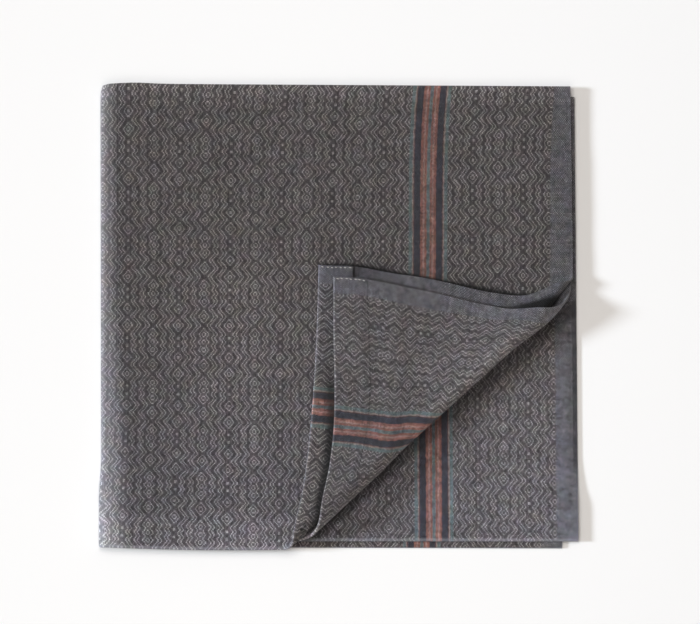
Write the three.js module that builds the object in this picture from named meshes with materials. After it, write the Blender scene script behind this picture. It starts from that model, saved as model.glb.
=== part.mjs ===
// A handwoven cotton dishcloth, folded in four and lying flat, with the free corner of its two upper
// layers turned back. Millimetres, +Z up. X runs along the hems, Y from the hems (-) to the top fold (+).
//
// The cloth is one panel. A point of it is named by its place on the cloth when that is spread out:
//   across  from the left fold line (0) to a selvedge (+ right half, - left half)
//   down    from the top fold line (0) to a hem (+ front half, - back half)
//   proud   from the middle of the cloth's thickness, + towards the face side
// The spread-out panel is ruled into cells along its folds, and foldedPlace() folds each corner of a cell.

import * as THREE from 'three';

// The panel
const CLOTH_WIDTH = 500; // selvedge to selvedge
const CLOTH_LENGTH = 488; // hem to hem, finished
const THICKNESS = 1;
const AIR = 0.4; // left between two layers
const HEM_DEPTH = 18.5;
const HEM_EXTRA = 0.6; // how much thicker the cloth is at its turned hem, on the back
const HEM_STEP = 0.8; // length of the slope from the hem's inner edge to the single cloth

// The stack of four layers, each at one pitch from the next, or more where two hems lie back to back
const PITCH = THICKNESS + AIR;
const HEM_PITCH = PITCH + 2 * HEM_EXTRA;
const HALF_WIDTH = CLOTH_WIDTH / 2;
const HALF_LENGTH = CLOTH_LENGTH / 2;
const TOP_FOLD_REACH = Math.PI / 4 * PITCH; // cloth taken up on each side of the top fold line
const INNER_REACH = Math.PI / 4 * PITCH; // the same at the left fold, on the inner two layers
const OUTER_REACH = Math.PI * 3 / 4 * PITCH; // and on the outer two

// Where the corners of each layer lie, right and up from the corner that the two folds share. The upper two
// layers share a top fold, as the lower two do, and the outer two and inner two share a left fold.
const TOP_FOLD_UPPER = [245.0, -1.5];
const TOP_FOLD_LOWER = [247.2, -7.0];
const LEFT_FOLD_OUTER = [0.5, -243.1];
const LEFT_FOLD_INNER = [0.3, -239.9];
const LAYERS = {
  top: { topRight: TOP_FOLD_UPPER, hemLeft: LEFT_FOLD_OUTER, hemRight: [248.4, -243.8], hemSag: 1.3 },
  second: { topRight: TOP_FOLD_UPPER, hemLeft: LEFT_FOLD_INNER, hemRight: [246.0, -239.8], hemSag: 0 },
  third: { topRight: TOP_FOLD_LOWER, hemLeft: LEFT_FOLD_INNER, hemRight: [249.3, -240.1], hemSag: 0 },
  bottom: { topRight: TOP_FOLD_LOWER, hemLeft: LEFT_FOLD_OUTER, hemRight: [240.7, -243.8], hemSag: 0 },
};
// The small rise of the top fold near its left end, by share of the width
const TOP_EDGE_SWELL = { height: 0.6, at: 0.065, spread: 0.04 };
// The corner that the two folds share is drawn in to a round: its outermost place, and its radius
const FOLD_CORNER = { x: -PITCH * 3 / 2 - THICKNESS / 2, y: PITCH / 2 + THICKNESS / 2, radius: 6 };
const HEM_SAG_SPAN = 0.5; // share of the width over which the top layer's hem sags
const SECOND_HEM_RISE = { size: 1.7, starts: 0.45 }; // past that share the second layer's is drawn up
const HEM_RISE_START = -218.5; // above this the layers lie at PITCH
const HEM_RISE_END = -194.5; // and they spread to HEM_PITCH between the two
const HEM_PITCH_WHOLE = 30; // from the hem, on the turned-back corner
const HEM_PITCH_ENDS = 50;
// The third layer's selvedge hangs down where the bottom layer stands back from it. The drop comes in between
// two shares of the length, over a width that grows towards the hem, and fades out before the stiff hem.
const DROOP = { drop: 1.1, starts: 0.25, whole: 0.6, widthAtHem: 7.2, fadesOver: 12 };

// The turned-back corner of the two upper layers
const CREASE_UP = 141.4; // from the corner up the top layer's selvedge to the crease
const CREASE_IN = 157.5; // from the corner along its hem to the crease
const ROLL_RADIUS = 3.5;
// How the roll tightens over its last part at each end
const ROLL_AT_SELVEDGE = { tighter: 1.3, length: 40 };
const ROLL_AT_HEM = { tighter: 0.4, length: 30 };
// How much wider the second layer's roll is than the top one's: near the selvedge, by distance from there,
// and less near the hem
const SECOND_STANDS_OFF = { size: 3.0, starts: 52, ends: 12 };
const SECOND_AT_HEM = { looser: 0.8, length: 70 };
const LEAN = THREE.MathUtils.degToRad(15); // how far past straight back the roll turns before it lies down
const LANDING_RADIUS = 60; // of the gentle curve in which it lies down
const SETTLED = 24; // how far behind the crease it has come to lie flat
const UNEVEN_SETTLED = 16; // and taken on its own unevenness
const FLAP_AIR = 0.3; // more air between the two turned-back layers than elsewhere
const ROLL_PITCH_FADES = { starts: 42, ends: 85 }; // how far past the crease a hem widens the roll
const SELVEDGE_PULL = { size: 3.5, length: 28, past: 5 }; // the crease curves back at its selvedge end
const FLAP_SHIFT = { x: -1.65, y: 0.9 }; // of the whole turned-back corner from a plain fold
// How far its hem and its selvedge bow in, and how the bows fade away from those edges
const HEM_BOW = { size: 3.9, length: 172, at: 20, spread: 150 };
const SELVEDGE_BOW = {
  atEdge: { size: 5.7, start: 48, end: 115 },
  inside: { size: 4.9, start: 32, end: 81 },
  edgeWidth: 8,
  spread: 60,
};
const HEM_END_LIFT = { size: 1.6, at: 20, length: 14, spread: 40 };

// The side of the cloth that is up on each layer that turns back, how finely its roll is ruled, and how far
// past the roll its slope and landing are ruled
const FLAPS = {
  top: { sign: 1, rollEnd: 14, step: 1.6 },
  second: { sign: -1, rollEnd: 24, step: 2 },
};
const LANDING_RULES = [0, 8, 16, 24];

// Ruling of the panel into cells, by distance from the fold lines
const TOP_FOLD_RULES = [0, 1 / 4, 1 / 2, 3 / 4, 1].map((share) => share * TOP_FOLD_REACH);
const LEFT_FOLD_RULES = [
  ...[0, 1 / 3, 2 / 3, 1].map((share) => share * INNER_REACH),
  ...[1 / 4, 1 / 2, 3 / 4, 1].map((share) => INNER_REACH + share * (OUTER_REACH - INNER_REACH)),
];
const RIGHT_RULES = [45, 90, 110, 130, 150, 170, 190, 210, 225, 238];
const LEFT_RULES = [-80, -160, -225, -241, -246];
const DOWN_RULES = [45, 90, 110, 130, 150, 170, 190, 205, 216];

const ON_LINE = 0.05; // a cell's corner this near a ruling line counts as on it

const smooth = THREE.MathUtils.smoothstep;
const clamp = THREE.MathUtils.clamp;

const bell = (value, at, spread) => Math.exp(-(((value - at) / spread) ** 2));

// How far apart the layers with hems back to back lie, by place up the stack
function hemPitchAt(up) {
  return HEM_PITCH + (PITCH - HEM_PITCH) * smooth(up, HEM_RISE_START, HEM_RISE_END);
}

// The same between the two turned-back layers, which carry their own hems with them
function hemPitchOn(down) {
  const fromHem = HALF_LENGTH - Math.abs(down);
  return PITCH + (HEM_PITCH - PITCH) * (1 - smooth(fromHem, HEM_PITCH_WHOLE, HEM_PITCH_ENDS));
}

function layerOf(across, down) {
  if (across >= 0) return down >= 0 ? 'top' : 'second';
  return down >= 0 ? 'bottom' : 'third';
}

// A layer laid out between its four corners, with its edges as uneven as they lie
function layOut(name, right, below, fullRight, fullBelow) {
  const { topRight, hemLeft, hemRight, hemSag } = LAYERS[name];
  const q = Math.max(right, 0) / fullRight;
  const r = Math.max(below, 0) / fullBelow;
  const swell = TOP_EDGE_SWELL.height * bell(q, TOP_EDGE_SWELL.at, TOP_EDGE_SWELL.spread);
  const sag = hemSag * Math.sin(Math.PI * clamp(q / HEM_SAG_SPAN, 0, 1));
  const free = clamp((q - SECOND_HEM_RISE.starts) / (1 - SECOND_HEM_RISE.starts), 0, 1);
  const rise = name === 'second' ? SECOND_HEM_RISE.size * Math.sin(Math.PI * free) : 0;
  const place = [0, 1].map((k) => {
    return topRight[k] * q * (1 - r) + hemLeft[k] * (1 - q) * r + hemRight[k] * q * r;
  });
  return {
    x: place[0] + Math.min(right, 0),
    y: place[1] - Math.min(below, 0) + swell * (1 - r) ** 3 + (rise - sag) * r ** 4,
  };
}

// The crease of the turned-back corner, as a line across the top layer
function findCrease() {
  const fullRight = HALF_WIDTH - OUTER_REACH;
  const fullBelow = HALF_LENGTH - TOP_FOLD_REACH;
  const atHem = layOut('top', fullRight - CREASE_IN, fullBelow, fullRight, fullBelow);
  const atSelvedge = layOut('top', fullRight, fullBelow - CREASE_UP, fullRight, fullBelow);
  const length = Math.hypot(atSelvedge.x - atHem.x, atSelvedge.y - atHem.y);
  const along = { x: (atSelvedge.x - atHem.x) / length, y: (atSelvedge.y - atHem.y) / length };
  return { start: atHem, along, out: { x: along.y, y: -along.x }, length };
}

const dot = (a, b) => a.x * b.x + a.y * b.y;
const fromCrease = (x, y) => ({ x: x - crease.start.x, y: y - crease.start.y });

// Where the top layer's free corner comes to lie, and the directions of its two edges from there
function findFlapCorner() {
  const corner = LAYERS.top.hemRight;
  const depth = dot(fromCrease(...corner), crease.out);
  const moved = turnBack(depth, ROLL_RADIUS, PITCH, 0).out - depth;
  const { along, out } = crease;
  return {
    x: corner[0] + out.x * moved,
    y: corner[1] + out.y * moved,
    alongSelvedge: { x: 2 * along.x * along.y, y: 2 * along.y ** 2 - 1 },
    alongHem: { x: 1 - 2 * along.x ** 2, y: -2 * along.x * along.y },
  };
}

const crease = findCrease();
const flapCorner = findFlapCorner();

// The roll is tighter at its ends, where the second layer stands away from the top one
function rollRadius(name, reach, ownPitch) {
  const toSelvedge = crease.length - reach;
  const atSelvedge = ROLL_AT_SELVEDGE.tighter * (1 - smooth(toSelvedge, 0, ROLL_AT_SELVEDGE.length));
  const atHem = ROLL_AT_HEM.tighter * (1 - smooth(reach, 0, ROLL_AT_HEM.length));
  const tight = ROLL_RADIUS - atSelvedge - atHem;
  if (name === 'top') return tight;
  const { size, starts, ends } = SECOND_STANDS_OFF;
  const looser = SECOND_AT_HEM.looser * (1 - smooth(reach, 0, SECOND_AT_HEM.length));
  return tight + ownPitch + looser + size * (1 - smooth(toSelvedge, ends, starts));
}

// The path of a layer that turns back over itself: a roll of a little more than half a turn, a straight
// slope down and a gentle landing. `past` is the cloth's length past the crease, `inner` is towards the
// roll's centre, and `rise` is the height at which it lands.
function turnBack(past, radius, rise, inner) {
  const fullTurn = Math.PI + LEAN;
  const rollLength = radius * fullTurn;
  const drop = radius * (1 + Math.cos(LEAN)) - LANDING_RADIUS * (1 - Math.cos(LEAN)) - rise;
  const slopeLength = Math.max(drop / Math.sin(LEAN), 0);
  const turned = clamp(past / radius, 0, fullTurn);
  const slope = clamp(past - rollLength, 0, slopeLength);
  const landed = clamp((past - rollLength - slopeLength) / LANDING_RADIUS, 0, LEAN);
  const flat = Math.max(past - rollLength - slopeLength - LANDING_RADIUS * LEAN, 0);
  const heading = turned - landed;
  const roll = Math.min(past, 0) + radius * Math.sin(turned);
  const landing = LANDING_RADIUS * (Math.sin(LEAN - landed) - Math.sin(LEAN));
  const settle = LANDING_RADIUS * (Math.cos(LEAN) - Math.cos(LEAN - landed));
  return {
    out: roll - Math.cos(LEAN) * slope + landing - flat - inner * Math.sin(heading),
    up: radius * (1 - Math.cos(turned)) - Math.sin(LEAN) * slope + settle + inner * Math.cos(heading),
  };
}

// How the turned-back corner lies unevenly: its hem and its selvedge bow in towards the crease. Both layers
// take the same unevenness, from the place where they lie.
function flapUnevenness(x, y) {
  const fromCorner = { x: x - flapCorner.x, y: y - flapCorner.y };
  const fromHem = dot(fromCorner, flapCorner.alongSelvedge);
  const fromSelvedge = dot(fromCorner, flapCorner.alongHem);
  const hemWave = Math.sin(Math.PI * clamp(fromSelvedge / HEM_BOW.length, 0, 1));
  const hemBow = HEM_BOW.size * hemWave * bell(fromHem, HEM_BOW.at, HEM_BOW.spread);
  const { atEdge, inside, edgeWidth, spread } = SELVEDGE_BOW;
  const k = clamp(fromSelvedge / edgeWidth, 0, 1);
  const start = atEdge.start + (inside.start - atEdge.start) * k;
  const end = atEdge.end + (inside.end - atEdge.end) * k;
  const size = atEdge.size + (inside.size - atEdge.size) * k;
  const selvedgeBow = size * smooth(fromHem, start, end) * Math.exp(-Math.max(fromSelvedge, 0) / spread);
  const lift = HEM_END_LIFT.size * bell(fromHem, HEM_END_LIFT.at, HEM_END_LIFT.length);
  return {
    x: FLAP_SHIFT.x + hemBow,
    y: FLAP_SHIFT.y - selvedgeBow + lift * Math.exp(-Math.max(fromSelvedge, 0) / HEM_END_LIFT.spread),
  };
}

// Height of the middle of the top layer, by place up the stack
function topLayerHeight(up) {
  return PITCH + 2 * hemPitchAt(up) + THICKNESS / 2;
}

function turnCorner(name, down, proud, flatPlace) {
  const fromStart = fromCrease(flatPlace.x, flatPlace.y);
  const reach = dot(fromStart, crease.along);
  const beyond = dot(fromStart, crease.out);
  const pullStart = crease.length - SELVEDGE_PULL.length;
  const pull = SELVEDGE_PULL.size * smooth(reach, pullStart, crease.length + SELVEDGE_PULL.past);
  const past = beyond + pull;
  if (past <= 0) return flatPlace;
  const startPitch = name === 'top' ? 0 : hemPitchAt(crease.start.y + reach * crease.along.y);
  const ownPitch = name === 'top' ? 0 : hemPitchOn(down) + FLAP_AIR;
  const hemPassed = smooth(past, ROLL_PITCH_FADES.starts, ROLL_PITCH_FADES.ends);
  const freePitch = name === 'top' ? 0 : startPitch + FLAP_AIR;
  const radius = rollRadius(name, reach, ownPitch + (freePitch - ownPitch) * hemPassed);
  const turn = turnBack(past, radius, PITCH + startPitch + ownPitch, FLAPS[name].sign * proud);
  const settled = smooth(-turn.out, 0, SETTLED);
  const out = turn.out - pull * (1 - 2 * settled);
  const x = crease.start.x + crease.along.x * reach + crease.out.x * out;
  const y = crease.start.y + crease.along.y * reach + crease.out.y * out;
  const uneven = flapUnevenness(x, y);
  const share = smooth(-turn.out, 0, UNEVEN_SETTLED);
  const place = { x: x + uneven.x * share, y: y + uneven.y * share };
  return { ...place, z: topLayerHeight(place.y) - startPitch + turn.up };
}

// The selvedge of the third layer hangs down a little where the bottom layer stands back from it
function droopAt(right, below, fullRight, fullBelow) {
  const share = below / fullBelow;
  const lengthwise = smooth(share, DROOP.starts, DROOP.whole);
  const widthwise = smooth(right, fullRight - DROOP.widthAtHem * share, fullRight);
  const stiff = smooth(below, fullBelow - HEM_DEPTH - DROOP.fadesOver, fullBelow - HEM_DEPTH);
  return DROOP.drop * lengthwise * widthwise * (1 - stiff);
}

// All four layers are drawn in alike there
function roundFoldCorner({ x, y, z }) {
  const left = FOLD_CORNER.x + FOLD_CORNER.radius - x;
  const up = y - FOLD_CORNER.y + FOLD_CORNER.radius;
  if (left <= 0 || up <= 0) return { x, y, z };
  const drawnIn = 1 - (left ** 4 + up ** 4) ** (1 / 4) / Math.hypot(left, up);
  return { x: x + left * drawnIn, y: y - up * drawnIn, z };
}

function foldedPlace(across, down, proud) {
  // the top fold brings the back half under the front half
  const topTurn = Math.PI * clamp((TOP_FOLD_REACH - down) / (2 * TOP_FOLD_REACH), 0, 1);
  const below = Math.max(Math.abs(down) - TOP_FOLD_REACH, 0) - (PITCH / 2 + proud) * Math.sin(topTurn);
  const outer = (1 + Math.cos(topTurn)) / 2; // 1 on the outer layers, 0 on the inner ones
  // the left fold brings the left half under the right half
  const leftFoldReach = INNER_REACH + (OUTER_REACH - INNER_REACH) * outer;
  const leftTurn = Math.PI * clamp((leftFoldReach - across) / (2 * leftFoldReach), 0, 1);
  const right = Math.max(Math.abs(across) - leftFoldReach, 0);
  const fullRight = HALF_WIDTH - leftFoldReach;
  const fullBelow = HALF_LENGTH - TOP_FOLD_REACH;
  const name = layerOf(across, down);
  const laid = layOut(name, right, below, fullRight, fullBelow);
  const pitch = hemPitchAt(laid.y);
  const foldRadius = PITCH / 2 + pitch * outer + proud * Math.cos(topTurn);
  const droop = name === 'third' ? droopAt(right, Math.max(below, 0), fullRight, fullBelow) : 0;
  const place = {
    x: laid.x - foldRadius * Math.sin(leftTurn),
    y: laid.y,
    z: PITCH / 2 + pitch + THICKNESS / 2 + foldRadius * Math.cos(leftTurn) - droop,
  };
  return name in FLAPS ? turnCorner(name, down, proud, roundFoldCorner(place)) : roundFoldCorner(place);
}

// Thickness on the back of the cloth: the turned hem makes it thicker
function backSurface(down) {
  const inner = HALF_LENGTH - HEM_DEPTH;
  return -THICKNESS / 2 - HEM_EXTRA * clamp((Math.abs(down) - inner) / HEM_STEP + 1, 0, 1);
}

// Cuts every cell that the line normal . point = offset crosses, unless it only grazes a corner
function rule(cells, normal, offset) {
  return cells.flatMap((cell) => {
    const side = cell.map(([a, b]) => normal[0] * a + normal[1] * b - offset);
    if (Math.max(...side) < ON_LINE || Math.min(...side) > -ON_LINE) return [cell];
    const halves = [[], []];
    cell.forEach((corner, i) => {
      const next = (i + 1) % cell.length;
      if (side[i] > -ON_LINE) halves[0].push(corner);
      if (side[i] < ON_LINE) halves[1].push(corner);
      const onLine = Math.abs(side[i]) < ON_LINE || Math.abs(side[next]) < ON_LINE;
      if (onLine || side[i] * side[next] > 0) return;
      const share = side[i] / (side[i] - side[next]);
      const crossing = corner.map((value, k) => value + (cell[next][k] - value) * share);
      halves[0].push(crossing);
      halves[1].push(crossing);
    });
    return halves;
  });
}

function ruledPanel() {
  const corners = [[-1, -1], [1, -1], [1, 1], [-1, 1]];
  let cells = [corners.map(([a, b]) => [a * HALF_WIDTH, b * HALF_LENGTH])];
  const hemEdge = HALF_LENGTH - HEM_DEPTH;
  const bothSides = (rules) => rules.flatMap((distance) => [distance, -distance]);
  const acrossRules = [...bothSides(LEFT_FOLD_RULES), ...RIGHT_RULES, ...LEFT_RULES];
  const downRules = bothSides([...TOP_FOLD_RULES, ...DOWN_RULES, hemEdge - HEM_STEP, hemEdge]);
  acrossRules.forEach((across) => { cells = rule(cells, [1, 0], across); });
  downRules.forEach((down) => { cells = rule(cells, [0, 1], down); });
  for (const [name, flap] of Object.entries(FLAPS)) {
    const depth = dot(fromCrease(...LAYERS[name].hemRight), crease.out);
    const normal = [crease.out.x, -crease.out.y * flap.sign];
    const cornerOffset = crease.out.x * HALF_WIDTH - crease.out.y * HALF_LENGTH;
    const pastRules = LANDING_RULES.map((past) => flap.rollEnd + past);
    for (let past = -SELVEDGE_PULL.size; past < flap.rollEnd; past += flap.step) pastRules.push(past);
    pastRules.forEach((past) => { cells = rule(cells, normal, cornerOffset - depth + past); });
  }
  return cells;
}

// The folded cloth as one closed body: each cell on the face side and on the back, and a rim at the edges
function clothGeometry() {
  const places = [];
  const placeOf = new Map();
  const vertex = ([across, down], faceSide) => {
    const key = `${across.toFixed(5)},${down.toFixed(5)},${faceSide}`;
    if (!placeOf.has(key)) {
      const proud = faceSide ? THICKNESS / 2 : backSurface(down);
      const { x, y, z } = foldedPlace(across, down, proud);
      placeOf.set(key, places.length / 3);
      places.push(x, y, z);
    }
    return placeOf.get(key);
  };
  const triangles = [];
  const edges = new Map();
  for (const cell of ruledPanel()) {
    const face = cell.map((corner) => vertex(corner, true));
    const back = cell.map((corner) => vertex(corner, false));
    for (let i = 1; i + 1 < cell.length; i += 1) {
      triangles.push(face[0], face[i + 1], face[i], back[0], back[i], back[i + 1]);
    }
    cell.forEach((corner, i) => {
      const next = (i + 1) % cell.length;
      const opposite = `${face[next]}-${face[i]}`;
      if (edges.has(opposite)) edges.delete(opposite);
      else edges.set(`${face[i]}-${face[next]}`, [face[i], face[next], back[next], back[i]]);
    });
  }
  for (const [a, b, c, d] of edges.values()) triangles.push(a, b, c, a, c, d);
  const geometry = new THREE.BufferGeometry();
  geometry.setAttribute('position', new THREE.Float32BufferAttribute(places, 3));
  geometry.setIndex(triangles);
  geometry.computeBoundingBox();
  const { min, max } = geometry.boundingBox;
  geometry.translate(-(min.x + max.x) / 2, -(min.y + max.y) / 2, -min.z);
  geometry.computeVertexNormals();
  return geometry;
}

const cottonCloth = new THREE.MeshStandardMaterial({ color: 0x55514f, roughness: 0.9, metalness: 0 });

const dishcloth = new THREE.Group();
const cloth = new THREE.Mesh(clothGeometry(), cottonCloth);
cloth.name = 'cloth';
dishcloth.add(cloth);

export default dishcloth;
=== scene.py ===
# A handwoven cotton dishcloth, folded in four and lying flat, with the free corner of its two upper layers
# turned back. The scene is in metres, +Z up: X runs along the hems, Y from the hems (-) to the top fold (+).
#
# The cloth is one woven sheet. It is made spread out and flat, ruled into cells, given its thickness, and
# then folded point by point, its turned hems first. Sizes are in millimetres until a folded point is placed.
import math
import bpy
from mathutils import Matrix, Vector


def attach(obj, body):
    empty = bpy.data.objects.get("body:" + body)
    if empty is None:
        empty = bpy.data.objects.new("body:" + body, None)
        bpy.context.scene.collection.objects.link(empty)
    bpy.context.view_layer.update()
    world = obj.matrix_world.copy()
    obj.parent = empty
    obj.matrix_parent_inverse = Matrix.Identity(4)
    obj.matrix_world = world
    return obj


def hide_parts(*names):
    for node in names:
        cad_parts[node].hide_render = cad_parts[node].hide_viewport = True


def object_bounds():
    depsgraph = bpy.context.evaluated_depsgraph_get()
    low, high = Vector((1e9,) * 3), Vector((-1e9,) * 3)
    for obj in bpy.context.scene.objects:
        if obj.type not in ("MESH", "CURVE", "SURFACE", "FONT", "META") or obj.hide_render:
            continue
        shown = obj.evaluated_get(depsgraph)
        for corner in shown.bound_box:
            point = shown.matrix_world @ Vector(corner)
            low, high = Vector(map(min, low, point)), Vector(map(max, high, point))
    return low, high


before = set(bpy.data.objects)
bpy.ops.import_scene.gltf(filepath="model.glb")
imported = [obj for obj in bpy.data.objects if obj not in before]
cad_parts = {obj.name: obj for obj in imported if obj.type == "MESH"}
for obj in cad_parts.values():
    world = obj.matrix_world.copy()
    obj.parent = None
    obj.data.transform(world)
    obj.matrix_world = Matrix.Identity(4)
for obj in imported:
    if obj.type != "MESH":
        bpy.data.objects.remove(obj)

from types import SimpleNamespace as Group

import bmesh
import bpy
from mathutils import Vector, noise

CAD_LOW, CAD_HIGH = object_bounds()
MM = 0.001

# --- The cloth ---
# A point of it is named by its place on the spread-out cloth: across from the left fold line (+ right half,
# - left half), down from the top fold line (+ front half, - back half), and proud of the middle of the solid.
CLOTH_WIDTH = 500  # selvedge to selvedge
CLOTH_LENGTH = 488  # hem to hem, finished
HEM_DEPTH = 18.5
TURN_UNDER = 16  # the raw edge's allowance, folded inside the hem
CLOTH_THICKNESS = 0.8
HEM_PLY = 0.5  # one of the hem's three plies, pressed flat
PLY_GAP = 0.03
FACE = 0.45  # how proud the face side of the cloth is

HALF_WIDTH = CLOTH_WIDTH / 2
HALF_LENGTH = CLOTH_LENGTH / 2
HEM_SEAM = HALF_LENGTH - HEM_DEPTH
PRESSED = (HEM_SEAM - 1, HEM_SEAM + 3)  # where the cloth thins to a pressed ply
HEM_RADIUS = (3 * HEM_PLY + 2 * PLY_GAP) / 2  # of the hem's outer fold, over all its plies
HEM_MIDDLE = HEM_RADIUS - HEM_PLY / 2
ON_BACK = FACE - 2 * HEM_RADIUS  # how proud the turned hem is
INNER_RADIUS = (2 * HEM_PLY + PLY_GAP) / 2  # of the fold inside the hem
INNER_MIDDLE = INNER_RADIUS - HEM_PLY / 2
HEM_TURN = HALF_LENGTH - HEM_RADIUS  # where along the sheet the hem turns
HEM_PLY_START = HEM_TURN + math.pi * HEM_MIDDLE
HEM_INNER = HEM_SEAM + INNER_RADIUS  # where its inner fold is centred
INNER_TURN = HEM_PLY_START + HEM_TURN - HEM_INNER
INNER_PLY_START = INNER_TURN + math.pi * INNER_MIDDLE
SHEET_HALF = INNER_PLY_START + TURN_UNDER
HEM_GAPE = Group(lift=1.5, length=8, starts=6)  # its inner fold stands off the cloth at its open ends

# --- The fold: the same sizes as the solid's ---
# It lies in four layers. The top fold joins the top layer to the second and the bottom one to the third. The
# left fold joins the top layer to the bottom one round the outside, and the second to the third inside it.
SOLID_THICKNESS = 1
AIR = 0.4  # between two layers
HEM_EXTRA = 0.6  # by which a hem is thicker than the cloth
PITCH = SOLID_THICKNESS + AIR
HEM_PITCH = PITCH + 2 * HEM_EXTRA
TOP_FOLD_REACH = math.pi / 4 * PITCH  # how far from its fold line the sheet is bent
INNER_REACH = TOP_FOLD_REACH
OUTER_REACH = math.pi * 3 / 4 * PITCH
# The corners of the layers
TOP_FOLD_UPPER = (245.0, -1.5)
TOP_FOLD_LOWER = (247.2, -7.0)
LEFT_FOLD_OUTER = (0.5, -243.1)
LEFT_FOLD_INNER = (0.3, -239.9)
LAYERS = {
    "top": Group(top_right=TOP_FOLD_UPPER, hem_left=LEFT_FOLD_OUTER, hem_right=(248.4, -243.8)),
    "second": Group(top_right=TOP_FOLD_UPPER, hem_left=LEFT_FOLD_INNER, hem_right=(246.0, -239.8)),
    "third": Group(top_right=TOP_FOLD_LOWER, hem_left=LEFT_FOLD_INNER, hem_right=(249.3, -240.1)),
    "bottom": Group(top_right=TOP_FOLD_LOWER, hem_left=LEFT_FOLD_OUTER, hem_right=(240.7, -243.8)),
}
# Their edges aren't quite straight. Places along them are shares of a layer's width.
TOP_EDGE_SWELL = Group(height=0.6, at=0.065, spread=0.04)
FOLD_CORNER = Group(x=-1.5 * PITCH - SOLID_THICKNESS / 2, y=PITCH / 2 + SOLID_THICKNESS / 2, radius=6)
TOP_HEM_SAG = Group(size=1.3, ends=0.5)
SECOND_HEM_RISE = Group(size=1.7, starts=0.45)
HEM_RISE = (-218.5, -194.5)  # up the pile, where layers draw together above their hems
HEM_PITCH_FADES = (30, 50)  # the same on the turned-back layers, from their hems
DROOP = Group(drop=1.1, starts=0.25, whole=0.6, width_at_hem=7.2, fades_over=12)
# The crease of the turned-back corner: how far up the selvedge it starts, and how far in along the hem
CREASE_UP = 141.4
CREASE_IN = 157.5
# Its roll: the top layer's radius, where it is tighter, and where the second layer stands off round it
ROLL_RADIUS = 3.5
ROLL_AT_SELVEDGE = Group(tighter=1.3, length=40)
ROLL_AT_HEM = Group(tighter=0.4, length=30)
ROLL_PITCH_FADES = (42, 85)
SECOND_STANDS_OFF = Group(size=3.0, starts=52, ends=12)
SECOND_AT_HEM = Group(looser=0.8, length=70)
LEAN = math.radians(15)  # by which the roll is more than half a turn
LANDING_RADIUS = 60
FLAP_AIR = 0.3
# How the turned-back corner lies: pulled at its selvedge, shifted, and bowed along its edges
SELVEDGE_PULL = Group(size=3.5, length=28, past=5)
SETTLED = 24  # in from the crease, where the pull has turned round
UNEVEN_SETTLED = 16  # and where the shift and the bows are whole
FLAP_SHIFT = Vector((-1.65, 0.9))
HEM_BOW = Group(size=3.9, length=172, at=20, spread=150)
BOW_AT_EDGE = (5.7, 48, 115)  # of the selvedge: its size, start and end, from the hem
BOW_INSIDE = (4.9, 32, 81)
BOW_EDGE_WIDTH = 8
BOW_SPREAD = 60
HEM_END_LIFT = Group(size=1.6, at=20, length=14, spread=40)
FLAP_SIGN = {"top": 1, "second": -1}


def clamp(value, low, high):
    return min(max(value, low), high)


def smooth(value, start, end):
    share = clamp((value - start) / (end - start), 0, 1)
    return share * share * (3 - 2 * share)


def bell(value, at, spread):
    return math.exp(-(((value - at) / spread) ** 2))


def hem_pitch_at(up):
    """How far apart two layers lie whose hems are back to back, by place up the stack."""
    return HEM_PITCH + (PITCH - HEM_PITCH) * smooth(up, *HEM_RISE)


def hem_pitch_on(down):
    """The same between the two turned-back layers, which carry their own hems with them."""
    return PITCH + (HEM_PITCH - PITCH) * (1 - smooth(HALF_LENGTH - abs(down), *HEM_PITCH_FADES))


def layer_of(across, down):
    if across >= 0:
        return "top" if down >= 0 else "second"
    return "bottom" if down >= 0 else "third"


def lay_out(name, right, below, full_right, full_below):
    """A point of one layer, laid out between the layer's four corners."""
    layer = LAYERS[name]
    q = max(right, 0) / full_right
    r = max(below, 0) / full_below
    swell = TOP_EDGE_SWELL.height * bell(q, TOP_EDGE_SWELL.at, TOP_EDGE_SWELL.spread)
    rise = 0
    if name == "top":
        rise = -TOP_HEM_SAG.size * math.sin(math.pi * clamp(q / TOP_HEM_SAG.ends, 0, 1))
    if name == "second":
        free = clamp((q - SECOND_HEM_RISE.starts) / (1 - SECOND_HEM_RISE.starts), 0, 1)
        rise = SECOND_HEM_RISE.size * math.sin(math.pi * free)
    x, y = (
        layer.top_right[k] * q * (1 - r) + layer.hem_left[k] * (1 - q) * r + layer.hem_right[k] * q * r
        for k in (0, 1)
    )
    return Vector((x + min(right, 0), y - min(below, 0) + swell * (1 - r) ** 3 + rise * r**4))


def find_crease():
    """The crease of the turned-back corner: where it starts at the hem, its direction and its way out."""
    full_right = HALF_WIDTH - OUTER_REACH
    full_below = HALF_LENGTH - TOP_FOLD_REACH
    at_hem = lay_out("top", full_right - CREASE_IN, full_below, full_right, full_below)
    at_selvedge = lay_out("top", full_right, full_below - CREASE_UP, full_right, full_below)
    way = at_selvedge - at_hem
    along = way.normalized()
    return Group(start=at_hem, along=along, out=Vector((along.y, -along.x)), length=way.length)


CREASE = find_crease()


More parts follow.
